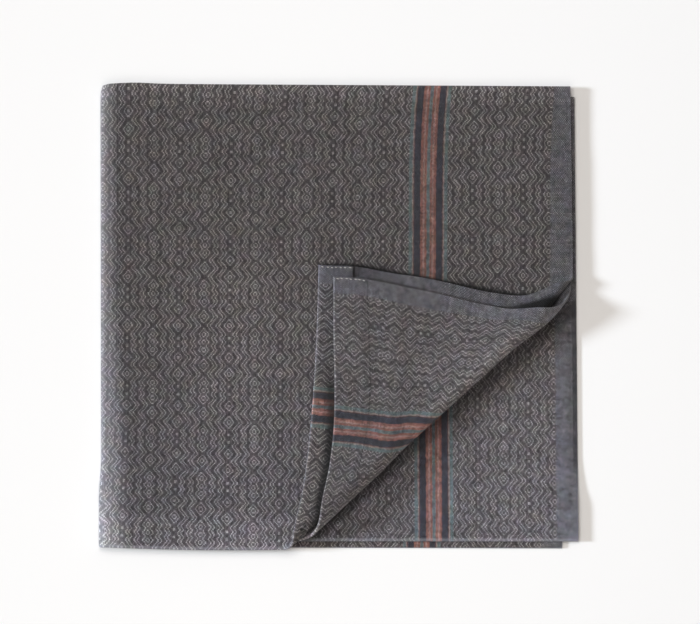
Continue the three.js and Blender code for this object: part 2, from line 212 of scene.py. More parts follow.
def turn_back(past, radius, rise, inner):
    """The path of a layer that turns back over itself: a roll of a little more than half a turn, a straight
    slope down and a gentle landing. Gives how far out from the crease it is, and how far up."""
    full_turn = math.pi + LEAN
    roll_length = radius * full_turn
    drop = radius * (1 + math.cos(LEAN)) - LANDING_RADIUS * (1 - math.cos(LEAN)) - rise
    slope_length = max(drop / math.sin(LEAN), 0)
    turned = clamp(past / radius, 0, full_turn)
    slope = clamp(past - roll_length, 0, slope_length)
    landed = clamp((past - roll_length - slope_length) / LANDING_RADIUS, 0, LEAN)
    flat = max(past - roll_length - slope_length - LANDING_RADIUS * LEAN, 0)
    heading = turned - landed
    roll = min(past, 0) + radius * math.sin(turned)
    landing = LANDING_RADIUS * (math.sin(LEAN - landed) - math.sin(LEAN))
    settle = LANDING_RADIUS * (math.cos(LEAN) - math.cos(LEAN - landed))
    out = roll - math.cos(LEAN) * slope + landing - flat - inner * math.sin(heading)
    up = radius * (1 - math.cos(turned)) - math.sin(LEAN) * slope + settle + inner * math.cos(heading)
    return out, up


def find_flap_corner():
    """Where the top layer's free corner comes to lie, and the directions of its two edges from there."""
    corner = Vector(LAYERS["top"].hem_right)
    depth = (corner - CREASE.start).dot(CREASE.out)
    along, out = CREASE.along, CREASE.out
    return Group(
        place=corner + out * (turn_back(depth, ROLL_RADIUS, PITCH, 0)[0] - depth),
        along_selvedge=Vector((2 * along.x * along.y, 2 * along.y**2 - 1)),
        along_hem=Vector((1 - 2 * along.x**2, -2 * along.x * along.y)),
    )


FLAP_CORNER = find_flap_corner()


def roll_radius(name, reach, pitch):
    to_selvedge = CREASE.length - reach
    at_selvedge = ROLL_AT_SELVEDGE.tighter * (1 - smooth(to_selvedge, 0, ROLL_AT_SELVEDGE.length))
    at_hem = ROLL_AT_HEM.tighter * (1 - smooth(reach, 0, ROLL_AT_HEM.length))
    tight = ROLL_RADIUS - at_selvedge - at_hem
    if name == "top":
        return tight
    stands_off = 1 - smooth(to_selvedge, SECOND_STANDS_OFF.ends, SECOND_STANDS_OFF.starts)
    looser = SECOND_AT_HEM.looser * (1 - smooth(reach, 0, SECOND_AT_HEM.length))
    return tight + pitch + looser + SECOND_STANDS_OFF.size * stands_off


def flap_unevenness(place):
    """How the turned-back corner lies unevenly: its hem and its selvedge bow in towards the crease."""
    from_corner = place - FLAP_CORNER.place
    from_hem = from_corner.dot(FLAP_CORNER.along_selvedge)
    from_selvedge = from_corner.dot(FLAP_CORNER.along_hem)
    hem_wave = math.sin(math.pi * clamp(from_selvedge / HEM_BOW.length, 0, 1))
    hem_bow = HEM_BOW.size * hem_wave * bell(from_hem, HEM_BOW.at, HEM_BOW.spread)
    k = clamp(from_selvedge / BOW_EDGE_WIDTH, 0, 1)
    size, start, end = (edge + (inside - edge) * k for edge, inside in zip(BOW_AT_EDGE, BOW_INSIDE))
    inwards = max(from_selvedge, 0)
    selvedge_bow = size * smooth(from_hem, start, end) * math.exp(-inwards / BOW_SPREAD)
    lift = HEM_END_LIFT.size * bell(from_hem, HEM_END_LIFT.at, HEM_END_LIFT.length)
    return FLAP_SHIFT + Vector((hem_bow, lift * math.exp(-inwards / HEM_END_LIFT.spread) - selvedge_bow))


def turn_corner(name, down, proud, x, y, z):
    """Turns back what lies past the crease on the two upper layers."""
    from_start = Vector((x, y)) - CREASE.start
    reach = from_start.dot(CREASE.along)
    pull_start = CREASE.length - SELVEDGE_PULL.length
    pull_end = CREASE.length + SELVEDGE_PULL.past
    pull = SELVEDGE_PULL.size * smooth(reach, pull_start, pull_end)
    past = from_start.dot(CREASE.out) + pull
    if past <= 0:
        return x, y, z
    start_pitch, own_pitch, roll_pitch = 0, 0, 0
    if name == "second":
        start_pitch = hem_pitch_at(CREASE.start.y + reach * CREASE.along.y)
        own_pitch = hem_pitch_on(down) + FLAP_AIR
        roll_pitch = own_pitch + (start_pitch + FLAP_AIR - own_pitch) * smooth(past, *ROLL_PITCH_FADES)
    radius = roll_radius(name, reach, roll_pitch)
    out, up = turn_back(past, radius, PITCH + start_pitch + own_pitch, FLAP_SIGN[name] * proud)
    settled = smooth(-out, 0, SETTLED)
    place = CREASE.start + CREASE.along * reach + CREASE.out * (out - pull * (1 - 2 * settled))
    place += flap_unevenness(place) * smooth(-out, 0, UNEVEN_SETTLED)
    height = PITCH + 2 * hem_pitch_at(place.y) + SOLID_THICKNESS / 2
    return place.x, place.y, height - start_pitch + up


def droop_at(right, below, full_right, full_below):
    """The third layer's selvedge hangs down a little where the bottom layer stands back from it."""
    share = below / full_below
    lengthwise = smooth(share, DROOP.starts, DROOP.whole)
    widthwise = smooth(right, full_right - max(DROOP.width_at_hem * share, 0.1), full_right)
    hem = full_below - HEM_DEPTH
    stiff = smooth(below, hem - DROOP.fades_over, hem)
    return DROOP.drop * lengthwise * widthwise * (1 - stiff)


def round_fold_corner(x, y):
    """Draws in the corner that the two folds share to a round."""
    left = FOLD_CORNER.x + FOLD_CORNER.radius - x
    up = y - FOLD_CORNER.y + FOLD_CORNER.radius
    if left <= 0 or up <= 0:
        return x, y
    drawn_in = 1 - (left**4 + up**4) ** (1 / 4) / math.hypot(left, up)
    return x + left * drawn_in, y - up * drawn_in


def folded(across, down, proud):
    """Where a point of the spread-out cloth lies once the cloth is folded, in millimetres."""
    top_turn = math.pi * clamp((TOP_FOLD_REACH - down) / (2 * TOP_FOLD_REACH), 0, 1)
    below = max(abs(down) - TOP_FOLD_REACH, 0) - (PITCH / 2 + proud) * math.sin(top_turn)
    outer = (1 + math.cos(top_turn)) / 2
    left_reach = INNER_REACH + (OUTER_REACH - INNER_REACH) * outer
    left_turn = math.pi * clamp((left_reach - across) / (2 * left_reach), 0, 1)
    right = max(abs(across) - left_reach, 0)
    full_right = HALF_WIDTH - left_reach
    full_below = HALF_LENGTH - TOP_FOLD_REACH
    name = layer_of(across, down)
    laid = lay_out(name, right, below, full_right, full_below)
    pitch = hem_pitch_at(laid.y)
    fold_radius = PITCH / 2 + pitch * outer + proud * math.cos(top_turn)
    drop = droop_at(right, max(below, 0), full_right, full_below) if name == "third" else 0
    x = laid.x - fold_radius * math.sin(left_turn)
    z = PITCH / 2 + pitch + SOLID_THICKNESS / 2 + fold_radius * math.cos(left_turn) - drop
    x, y = round_fold_corner(x, laid.y)
    return turn_corner(name, down, proud, x, y, z) if name in FLAP_SIGN else (x, y, z)


def gape_at(down):
    """How far the hem's inner fold stands off the cloth at the selvedge."""
    return HEM_GAPE.lift * smooth(HALF_LENGTH - abs(down), HEM_GAPE.starts, HEM_DEPTH)


def hem_turned(across, along, face_side):
    """Turns the hem: from a place along the sheet to a place down the cloth, and how proud it is there."""
    s = abs(along)
    thickness = CLOTH_THICKNESS + (HEM_PLY - CLOTH_THICKNESS) * smooth(s, *PRESSED)
    axis = FACE - HEM_RADIUS
    inner_axis = ON_BACK + INNER_RADIUS
    if s <= HEM_TURN:
        down, proud = s, FACE - (0 if face_side else thickness)
    elif s <= HEM_PLY_START:
        turned = (s - HEM_TURN) / HEM_MIDDLE
        radius = HEM_RADIUS - (0 if face_side else HEM_PLY)
        down, proud = HEM_TURN + radius * math.sin(turned), axis + radius * math.cos(turned)
    elif s <= INNER_TURN:
        down = HEM_TURN - (s - HEM_PLY_START)
        proud = ON_BACK + (0 if face_side else HEM_PLY)
    elif s <= INNER_PLY_START:
        turned = (s - INNER_TURN) / INNER_MIDDLE
        radius = INNER_RADIUS - (0 if face_side else HEM_PLY)
        down, proud = HEM_INNER - radius * math.sin(turned), inner_axis - radius * math.cos(turned)
    else:
        down = HEM_INNER + (s - INNER_PLY_START)
        proud = inner_axis + (INNER_RADIUS if face_side else INNER_RADIUS - HEM_PLY)
    if s > HEM_PLY_START:
        proud -= gape_at(down) * smooth(abs(across), HALF_WIDTH - HEM_GAPE.length, HALF_WIDTH)
    return math.copysign(down, along), proud


# The pile's unevenness: it grows with the height in the pile, so that the cloth still lies flat
WAVE = Group(size=0.35, length=42, level=0)
PUCKER = Group(size=0.12, length=11, level=5)
PILE_HEIGHT = 6


def settle(x, y, z):
    """A place of the folded cloth in metres, in the frame, with the pile's unevenness."""
    uneven = 0
    for kind in (WAVE, PUCKER):
        place = Vector((x / kind.length, y / kind.length, kind.level))
        uneven += kind.size * noise.noise(place)
    return Vector((x, y, z + uneven * min(z / PILE_HEIGHT, 1))) * MM


# --- The sheet as a mesh ---
CELL = 4
FOLD_STEPS = 6  # rules over a bend
PRESSED_STEPS = 2
GAPE_STEPS = 3
ROLL_RULES = {"top": Group(end=13, step=0.8), "second": Group(end=25, step=1.0)}  # past the crease
LANDING_STEP = 3
LANDING_LENGTH = 36
ON_LINE = 0.02  # a corner this close to a rule lies on it


def cut(bm, faces, point, normal):
    """Rules a line over some faces of the flat sheet."""
    edges = {edge for face in faces for edge in face.edges}
    verts = {vert for face in faces for vert in face.verts}
    geometry = [*verts, *edges, *faces]
    bmesh.ops.bisect_plane(
        bm, geom=geometry, dist=ON_LINE, plane_co=(*point, 0), plane_no=(*normal, 0), use_snap_center=False
    )


def steps(start, end, count):
    return [start + (end - start) * k / count for k in range(count + 1)]


def rule_folds(bm):
    """Rules the sheet along its two fold lines and along its hems."""
    across_rules = {*steps(0, INNER_REACH, FOLD_STEPS), *steps(INNER_REACH, OUTER_REACH, FOLD_STEPS)}
    down_rules = {
        *steps(0, TOP_FOLD_REACH, FOLD_STEPS),
        *steps(*PRESSED, PRESSED_STEPS),
        *steps(HEM_TURN, HEM_PLY_START, FOLD_STEPS),
        *steps(INNER_TURN, INNER_PLY_START, FOLD_STEPS),
    }
    for sign in (1, -1):
        for across in sorted(across_rules):
            cut(bm, bm.faces[:], (sign * across, 0), (1, 0))
        for down in sorted(down_rules):
            cut(bm, bm.faces[:], (0, sign * down), (0, 1))
    for across in steps(HALF_WIDTH - HEM_GAPE.length, HALF_WIDTH - 1, GAPE_STEPS):
        for sign in (1, -1):
            cut(bm, bm.faces[:], (sign * across, 0), (1, 0))


def crease_on_sheet(name):
    """The crease on one layer of the spread-out sheet: the layer's free corner, the direction from the crease
    to it, and how far it lies past the crease."""
    sign = FLAP_SIGN[name]
    out = CREASE.out
    depth = (Vector(LAYERS[name].hem_right) - CREASE.start).dot(out)
    return Vector((HALF_WIDTH, HALF_LENGTH * sign)), Vector((out.x, -out.y * sign)), depth


def rule_roll(bm, name):
    """Rules one of the two upper layers parallel to the crease, finely over the roll."""
    sign = FLAP_SIGN[name]
    corner, normal, depth = crease_on_sheet(name)
    rules = ROLL_RULES[name]
    start = -SELVEDGE_PULL.size
    pasts = steps(start, rules.end, round((rules.end - start) / rules.step))
    pasts += steps(rules.end + LANDING_STEP, rules.end + LANDING_LENGTH, round(LANDING_LENGTH / LANDING_STEP))
    for past in pasts:
        point = corner + normal * (past - depth)
        near = []
        for face in bm.faces:
            place = face.calc_center_median()
            if place.x > 0 and place.y * sign > 0 and abs((place.xy - point).dot(normal)) < 2 * CELL:
                near.append(face)
        cut(bm, near, point, normal)


# How far the threads wander from true. Each drift has its size, and the ranges across and down over which it
# grows. Those at the top fold die away below it.
EVERYWHERE = (-1, 0)
ENDS_AT_FOLD = Group(size=3.6, across=(0, 90), reach=28)
ENDS_HEMWARDS = [
    (0.9, EVERYWHERE, (70, 150)),
    (1.16, EVERYWHERE, (150, 250)),
    (1.74, (95, 20), (150, 250)),
    (-4.6, (130, 180), (150, 220)),
]
PICKS_AT_FOLD = Group(size=3.9, across=(100, 55), reach=18)
PICKS_RISE = [
    (1.6, (125, 200), EVERYWHERE),
    (2.7, (140, 230), (80, 10)),
    (2.2, (110, 20), (150, 240)),
]
PICKS_LAG = 1.1  # at the top fold
SECOND_PART = (20, 120)  # down the second layer, where its own drifts take over
SECOND_ENDS = Group(size=3.2, across=(165, 225))
SECOND_PICKS = 2.5
LEFT_LAG = Group(picks=14.2, by_down=0.06, at=204, by_across=0.083, ends=0.5)


def drifted(drifts, across, down):
    return sum(size * smooth(across, *over) * smooth(down, *by) for size, over, by in drifts)


def drifted_at_fold(drift, across, down):
    return drift.size * math.exp(-down / drift.reach) * smooth(across, *drift.across)


def place_in_weave(across, along, on_left):
    """A place of the sheet as its threads count it. They wander from true, most near the folds and the hems,
    and the treadling runs the other way on the left half."""
    from_fold, down = abs(across), abs(along)
    if on_left:
        lag = LEFT_LAG.picks + LEFT_LAG.by_down * (down - LEFT_LAG.at)
        lag += LEFT_LAG.by_across * (from_fold - HALF_WIDTH)
        return Vector((-from_fold + LEFT_LAG.ends, -along - lag))
    second = smooth(-along, *SECOND_PART)
    ends = drifted_at_fold(ENDS_AT_FOLD, from_fold, down)
    ends -= drifted(ENDS_HEMWARDS, from_fold, down) * (1 - second)
    ends += SECOND_ENDS.size * smooth(from_fold, *SECOND_ENDS.across) * second
    rise = drifted(PICKS_RISE, from_fold, down) + drifted_at_fold(PICKS_AT_FOLD, from_fold, down)
    rise -= PICKS_LAG * (1 - down / HALF_LENGTH)
    picks = SECOND_PICKS * second - rise * (1 - second)
    return Vector((across - ends, along - picks))


def flat_sheet():
    """The cloth spread out, unhemmed: ruled into cells, its face side up at 1 and its back at -1."""
    bm = bmesh.new()
    columns = 2 * round(HALF_WIDTH / CELL)
    rows = 2 * round(SHEET_HALF / CELL)
    bmesh.ops.create_grid(bm, x_segments=columns, y_segments=rows, size=1)
    bmesh.ops.scale(bm, vec=(HALF_WIDTH, SHEET_HALF, 1), verts=bm.verts)
    rule_folds(bm)
    for name in FLAP_SIGN:
        rule_roll(bm, name)
    weave = bm.loops.layers.uv.new("weave")
    sheet = bm.loops.layers.uv.new("sheet")
    for face in bm.faces:
        on_left = face.calc_center_median().x < 0
        for loop in face.loops:
            loop[weave].uv = place_in_weave(*loop.vert.co.xy, on_left) * MM
            loop[sheet].uv = loop.vert.co.xy * MM
    made = bmesh.ops.extrude_face_region(bm, geom=bm.faces[:])["geom"]
    back = {item for item in made if isinstance(item, bmesh.types.BMVert)}
    for vert in bm.verts:
        vert.co.z = -1 if vert in back else 1
    bmesh.ops.recalc_face_normals(bm, faces=bm.faces[:])
    return bm


def add_object(name, data):
    made = bpy.data.objects.new(name, data)
    bpy.context.scene.collection.objects.link(made)
    return made


def add_mesh(bm, name, materials):
    mesh = bpy.data.meshes.new(name)
    bm.to_mesh(mesh)
    bm.free()
    for material in materials:
        mesh.materials.append(material)
    return add_object(name, mesh)


def as_piece(bm, name, materials):
    """A piece of the cloth."""
    piece = add_mesh(bm, name, materials)
    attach(piece, "root")
    return piece


def make_cloth(weave, back, edges):
    """The folded cloth. Its face side, its back and its edges have a material each."""
    bm = flat_sheet()
    materials = [weave, back, edges]
    for face in bm.faces:
        heights = {vert.co.z for vert in face.verts}
        side = edges if len(heights) > 1 else (weave if 1 in heights else back)
        face.material_index = materials.index(side)
        face.smooth = True
    for edge in bm.edges:
        sides = {face.material_index for face in edge.link_faces}
        edge.smooth = len(sides) == 1
    for vert in bm.verts:
        down, proud = hem_turned(vert.co.x, vert.co.y, vert.co.z > 0)
        vert.co = settle(*folded(vert.co.x, down, proud))
    return as_piece(bm, "folded_cloth", materials)


# --- Sewing ---
THREAD = Group(radius=0.19, sides=6, steps=4)
STITCH_DIP = 1.6  # of its ends into the cloth, in its radius
STITCH_TAPER = 0.45
WHIP = Group(length=1.4, every=2.4, from_edge=0.75, from_hem=1.6, slant=0.3, uneven=0.5, seed=7)
HEMMING = Group(length=1.3, every=4.6, radius=0.14, slant=0.9)


def stitch(bm, start, end, proud, radius):
    """A short stitch on the cloth's surface: a thread that dips into it at both ends."""
    before = len(bm.verts)
    bmesh.ops.create_cone(
        bm, cap_ends=True, segments=THREAD.sides, radius1=radius, radius2=radius, depth=1
    )
    bm.verts.ensure_lookup_table()
    edges = {edge for vert in bm.verts[before:] for edge in vert.link_edges}
    long_edges = [edge for edge in edges if abs(edge.verts[0].co.z - edge.verts[1].co.z) > 0.5]
    bmesh.ops.subdivide_edges(bm, edges=long_edges, cuts=THREAD.steps - 1)
    bm.verts.ensure_lookup_table()
    side = math.copysign(1, proud)
    way = Vector(end) - Vector(start)
    normal = Vector((-way.y, way.x)).normalized()
    for vert in bm.verts[before:]:
        share = vert.co.z + 0.5
        from_middle = 2 * share - 1
        narrow = 1 - STITCH_TAPER * from_middle**2
        flat = Vector(start) + way * share + normal * vert.co.x * narrow
        height = proud + side * (vert.co.y * narrow - radius * STITCH_DIP * from_middle**4)
        vert.co = settle(*folded(flat.x, flat.y, height))


def make_whip_stitches(material):
    """Pale stitches that close the open ends of both hems on the right half."""
    bm = bmesh.new()
    noise.seed_set(WHIP.seed)  # noise_vector is otherwise seeded by the clock
    sunk = THREAD.radius * 0.4
    count = int(HEM_DEPTH // WHIP.every)
    for hem in (1, -1):
        for k in range(count):
            shift = Vector(noise.noise_vector(Vector((k * 1.7, hem * 5, 0)))) * WHIP.uneven
            down = hem * (HALF_LENGTH - WHIP.from_hem - k * WHIP.every + shift.x)
            across = HALF_WIDTH - WHIP.from_edge + shift.y / 2
            end = (across - WHIP.slant, down - hem * (WHIP.length + shift.z))
            stitch(bm, (across, down), end, ON_BACK - sunk - gape_at(down), THREAD.radius)
            stitch(bm, (across, down), end, FACE + sunk, THREAD.radius)
    return finish_stitches(bm, "whip_stitches", material)


def make_hemming(material):
    """The stitches in the cloth's own colour that hold down the inner fold of both hems."""
    bm = bmesh.new()
    count = int((CLOTH_WIDTH - 2 * HEM_GAPE.length) // HEMMING.every)
    for hem in (1, -1):
        for k in range(count):
            across = -HALF_WIDTH + HEM_GAPE.length + k * HEMMING.every
            if abs(across) < OUTER_REACH + HEMMING.length + 1:
                continue
            start = (across, hem * (HEM_SEAM - HEMMING.slant / 2))
            end = (across + HEMMING.length, hem * (HEM_SEAM + HEMMING.slant / 2))
            stitch(bm, start, end, ON_BACK + 0.1, HEMMING.radius)
            stitch(bm, start, (end[0], start[1]), FACE + HEMMING.radius * 0.2, HEMMING.radius)
    return finish_stitches(bm, "hemming", material)


def finish_stitches(bm, name, material):
    bmesh.ops.recalc_face_normals(bm, faces=bm.faces[:])
    for face in bm.faces:
        face.smooth = True
    return as_piece(bm, name, [material])


# --- Weave ---
END = 0.5592  # width of a warp thread
PICK = 0.6726  # of a weft thread
SHAFTS = 8
# The treadling: runs of picks that climb and fall
TREADLING = (6, -7, 7, -3, 3, -3, 3, -6)
TREADLING_START = 15.5
THREADING_POINT = 24  # ends from one turn of the threading to the next
THREADING_START = 15.5
THREADING_AFTER_STRIPE = 196.9  # it starts afresh past the stripe
STRIPE_MIDDLE = 173.5
STRIPE_HALF = 10.2
BAND_EDGE = 238.1  # where the plain selvedge band starts
RAISED_WEFT = (1, 4)  # steps of the eight where the weft is on top
# Colours of the stripe's warp threads by distance from its middle
STRIPE_ENDS = [
    (0.0, (0.092, 0.112, 0.122)),
    (0.8, (0.185, 0.078, 0.064)),
    (1.9, (0.250, 0.150, 0.138)),
    (2.8, (0.210, 0.090, 0.074)),
    (3.5, (0.165, 0.070, 0.060)),
    (4.2, (0.021, 0.022, 0.034)),
    (7.3, (0.080, 0.038, 0.040)),
    (7.8, (0.185, 0.149, 0.142)),
    (8.5, (0.088, 0.116, 0.122)),
]
WARP = (0.060, 0.0525, 0.0565)
WEFT = (0.199, 0.186, 0.190)
BAND_WARP = (0.072, 0.070, 0.081)
BAND_WEFT = (0.146, 0.142, 0.159)
STRIPE_WEFT = 0.82  # how far the weft takes on the stripe's colours
EDGE = (0.12, 0.118, 0.125)
# How light a thread is: painted shade deep between threads and painted light on their round tops, times each
# thread's and each crossing's own random tone
WARP_LIGHT = Group(deep=0.32, round=0.6, least=0.5, by_thread=0.4, by_crossing=0.7)
WEFT_LIGHT = Group(deep=0.5, round=0.6, least=0.55, by_thread=0.35, by_crossing=0.6)
WEFT_DIP = 0.55  # at the sides of the warp thread that it crosses
WARP_HEIGHT = 0.75
WEFT_HEIGHT = Group(least=0.45, more=0.7)
SLUB = Group(scale=320.0, detail=3.0, least=0.25, more=1.5)
PATCH = Group(scale=90.0, detail=2.0, least=0.75, more=0.5)
TINT_SCALE = 150.0
SOFTER_BEHIND = Group(share=0.16, between=0.33)  # the back half's threads differ less
SHOWS_THROUGH = 0.12  # of the weft, in the warp beside it

# Where the cloth is paler: towards its hems, most on the third layer (painted light, for more light on the
# lower part of the pile), on its hems, and along its folds (on the left one a painted highlight)
LOWER = (90, 240)  # down from the top fold, where painted light turns it paler
ON_HEM = (HEM_SEAM - 5, HEM_SEAM + 9)
PALER = Group(hemwards=0.12, second=0.185, third=0.43, hem=0.36)
THIRD_OUTWARDS = Group(least=0.88, more=0.22, between=(140, 238))
SECOND_DARKER = Group(by=0.12, between=(165, 215))  # away from its selvedge
# Painted highlight along the round left fold, where it catches the light: paler, wider towards the hem, mixed
# towards white
LEFT_FOLD_HIGHLIGHT = Group(width=11, wider_at_hem=0.55, widens=(90, 200), paler=1.5, more_at_hem=0.6,
    grows=(150, 240), whiter=0.4)
# The white of the painted highlights on the left fold and on the hems' turned edges
HIGHLIGHT_WHITE = (0.27, 0.27, 0.283)
# Paler along the top fold
TOP_FOLD_PALER = Group(width=14, paler=0.35)
CREASE_HIGHLIGHT = Group(between=(7, 21), paler=1.1)  # painted light past the crease, on the second layer's roll where it turns back
LEFT_PALER = Group(paler=0.28, at=73, reach=51, between=(60, 130))  # down the left of the top layer
# Painted highlights on the turned edge of the hems, where their round catches the light: most at the left,
# and whiter where the corner is turned back
HEM_EDGE_HIGHLIGHT = Group(left=0.45, corner=0.1, on_ply=0.32, whiter=0.4, rim_whiter=0.4)
CORNER = (80, 110)  # across, where the hem starts to turn back
HANGING_EDGE_SHADE = Group(shade=0.5, width=2.0, between=(105, 140), ends=(195, 212))  # painted shade on the third layer's selvedge, where it hangs down
HEM_SEAM_DARKER = Group(shade=0.4, width=(0.2, 0.7))  # on the second layer
# Painted shade in the slit beside the hem's gaping inner fold, on the back near the selvedge
GAPE_SHADE = Group(shade=0.97, from_selvedge=(7, 4), width=(0.3, 1.1))
BACK_TONE = 0.93  # the back is darker
TURNED_IN = (HEM_PLY_START - 0.4, HEM_PLY_START)  # along the sheet, where the hem's inner ply starts
TURNED_IN_TONE = Group(right=1.11, left=1.36)
# Painted shade, where the cloth lies in the dark between layers: on the top layer's turned-in hem, above its
# turned-back selvedge, under the roll, and on its back inside the curl
SHADE_BY_HEM = Group(past=90, at=11.2, nearer=2.6, nears=(165, 190), width=5.6, shade=0.9,
               fades=(165, 215), left=0.25)
SHADE_ABOVE_SELVEDGE = Group(down=95.6, slope=0.18, slopes=(136, 222), width=(0.3, 2.8), shade=0.75,
          reach=(1, 13), far_shade=0.16, lowest=130, starts=(112, 120),
          ends=(228, 236))
SHADOW_UNDER_ROLL = Group(grows=(0, 1.5), fades=(5.5, 9.5), shade=0.5, past_crease=7.6)
SHADE_IN_CURL = Group(down=(132, 147), past=200, from_selvedge=(3.5, 7.5), shade=0.97)
SHADE_BY_SECOND = Group(width=(6.0, 7.2), shade=0.45)  # painted shade on the top layer's back beside the second's selvedge
# Darker on the back near the hem's seam
BACK_BY_SEAM = Group(between=(198, 224), shade=0.3)
WARM_HUE = (1.015, 1, 0.955)  # of the cloth near its top fold
COOL_HUE = (0.975, 1, 1.045)  # and of its lower part, its back, its second layer, its turned-in hems and along its left fold
COOL = Group(back=0.4, second=0.4, by_fold=0.6, from_fold=(5, 20), turned_in=0.8, between=(170, 220))

THREAD_WOBBLE = 0.9  # how crooked the threads lie
TINT = (0.30, 0.22, 0.34)  # how far red, green and blue wander
TINT_MIDDLE = tuple(size / 2 for size in TINT)


def operator(operation):
    return lambda value, *others: value.math(operation, *others)


class Value:
    """A socket with a number in it. Python's operators on it add the Math nodes."""

    def __init__(self, nodes, socket):
        self.nodes = nodes
        self.socket = socket

    def math(self, operation, *others):
        return self.nodes.add("Math", {"operation": operation}, {0: self, **dict(enumerate(others, 1))})

    __add__ = __radd__ = operator("ADD")
    __sub__ = operator("SUBTRACT")
    __mul__ = __rmul__ = operator("MULTIPLY")
    __truediv__ = operator("DIVIDE")
    __mod__ = operator("FLOORED_MODULO")
    __abs__ = operator("ABSOLUTE")
    floor = operator("FLOOR")
    above = operator("GREATER_THAN")
    near = operator("COMPARE")  # to a value, within a reach

    def __rsub__(self, other):
        return self.nodes.add("Math", {"operation": "SUBTRACT"}, {0: other, 1: self})

    def within(self, low, high):
        return self.math("MAXIMUM", low).math("MINIMUM", high)

    def rise(self, low, high):
        """A smooth step from 0 to 1."""
        return self.nodes.add("MapRange", {"interpolation_type": "SMOOTHSTEP"}, {0: self, 1: low, 2: high})

    def fall(self, low, high):
        return 1 - self.rise(low, high)


class Nodes:
    """A material's node tree."""

    def __init__(self, name):
        self.material = bpy.data.materials.new(name)
        self.material.use_nodes = True
        self.tree = self.material.node_tree
        self.tree.nodes.clear()

    def add(self, kind, settings=None, inputs=None, output=0):
        """Adds a node: its settings first, then the values or links of its sockets. Gives one output."""
        node = self.tree.nodes.new("ShaderNode" + kind)
        for key, value in (settings or {}).items():
            if key == "stops":
                ramp = node.color_ramp
                ramp.interpolation = "CONSTANT"
                for k, (position, colour) in enumerate(value):
                    element = ramp.elements[k] if k < 2 else ramp.elements.new(position)
                    element.position = position
                    element.color = (*colour, 1)
            else:
                setattr(node, key, value)
        for key, value in (inputs or {}).items():
            if isinstance(value, Value):
                self.tree.links.new(value.socket, node.inputs[key])
            else:
                node.inputs[key].default_value = value
        return Value(self, node.outputs[output]) if node.outputs else None

    def in_millimetres(self, place):
        return [self.add("SeparateXYZ", None, {0: place}, output=k) / MM for k in (0, 1)]

    def place_on_sheet(self):
        """Across and along the spread-out sheet, in millimetres."""
        return self.in_millimetres(self.add("UVMap", {"uv_map": "sheet"}))

    def place_in_weave(self):
        """Where a point is as the threads count it: as a vector, and across and along in millimetres."""
        place = self.add("UVMap", {"uv_map": "weave"})
        crooked = self.noise(place, 380.0, 1.0, output=1)
        crooked = self.vector("SUBTRACT", crooked, (0.5, 0.5, 0.5))
        crooked = self.vector("MULTIPLY", crooked, (THREAD_WOBBLE * MM, THREAD_WOBBLE * MM, 0))
        place = self.vector("ADD", place, crooked)
        return place, *self.in_millimetres(place)

    def vector(self, operation, first, second):
        return self.add("VectorMath", {"operation": operation}, {0: first, 1: second})

    def mix(self, share, first, second):
        """Mixes two colours."""
        inputs = {0: share, 6: self.colour(first), 7: self.colour(second)}
        return self.add("Mix", {"data_type": "RGBA"}, inputs, output=2)

    def multiply(self, first, second):
        settings = {"data_type": "RGBA", "blend_type": "MULTIPLY", "clamp_result": False}
        return self.add("Mix", settings, {0: 1.0, 6: self.colour(first), 7: second}, output=2)

    def tinted(self, colour, share):
        """A colour made lighter or darker by a number that varies."""
        return self.multiply(colour, self.add("CombineColor", None, {0: share, 1: share, 2: share}))

    @staticmethod
    def colour(value):
        return value if isinstance(value, Value) else (*value, 1)

    def random(self, dimensions, inputs):
        return self.add("TexWhiteNoise", {"noise_dimensions": dimensions}, inputs)

    def noise(self, place, scale, detail, output=0):
        return self.add("TexNoise", None, {"Vector": place, "Scale": scale, "Detail": detail}, output)

    def finish(self, base_colour, height, depth, roughness, sheen):
        bump = self.add("Bump", None, {"Strength": 1.0, "Distance": depth * MM, "Height": height})
        shader = self.add("BsdfPrincipled", None, {
            "Base Color": base_colour, "Roughness": roughness, "Normal": bump,
            "Sheen Weight": sheen, "Sheen Roughness": 0.6, "Specular IOR Level": 0.25,
        })
        self.add("OutputMaterial", None, {0: shader})
        return self.material


class Place:
    """Where a point is on the spread-out sheet, and on which layer of the folded cloth."""

    def __init__(self, nodes):
        self.across, self.along = nodes.place_on_sheet()
        self.from_fold, self.hemwards = abs(self.across), abs(self.along)
        self.from_seam = abs(self.hemwards - HEM_SEAM)
        self.on_right, self.on_front = self.across.above(0), self.along.above(0)
        self.on_left = 1 - self.on_right
        self.on_third = self.on_left * (1 - self.on_front)
        self.on_second = self.on_right * (1 - self.on_front)
        self.lower = self.hemwards.rise(*LOWER) * (1 - self.on_second)


def painted_shadow_under_roll(at):
    """Painted shadow on the third layer, just out from under the roll."""
    dark, out = SHADOW_UNDER_ROLL, CREASE.out
    past = at.from_fold * out.x - at.hemwards * out.y - out.dot(CREASE.start) - dark.past_crease
    return past.rise(*dark.grows) * past.fall(*dark.fades) * at.on_third * dark.shade


def painted_shade_by_hem(at):
    """Painted shade on the top layer's turned-in hem, beside the second layer's hem."""
    dark = SHADE_BY_HEM
    from_edge = at.along - HEM_PLY_START + HEM_RADIUS
    edge = dark.at - at.across.rise(*dark.nears) * dark.nearer
    shade = (1 - at.across.rise(*dark.fades) * (1 - dark.left)) * dark.shade
    return from_edge.rise(edge - dark.width, edge) * at.across.above(dark.past) * shade


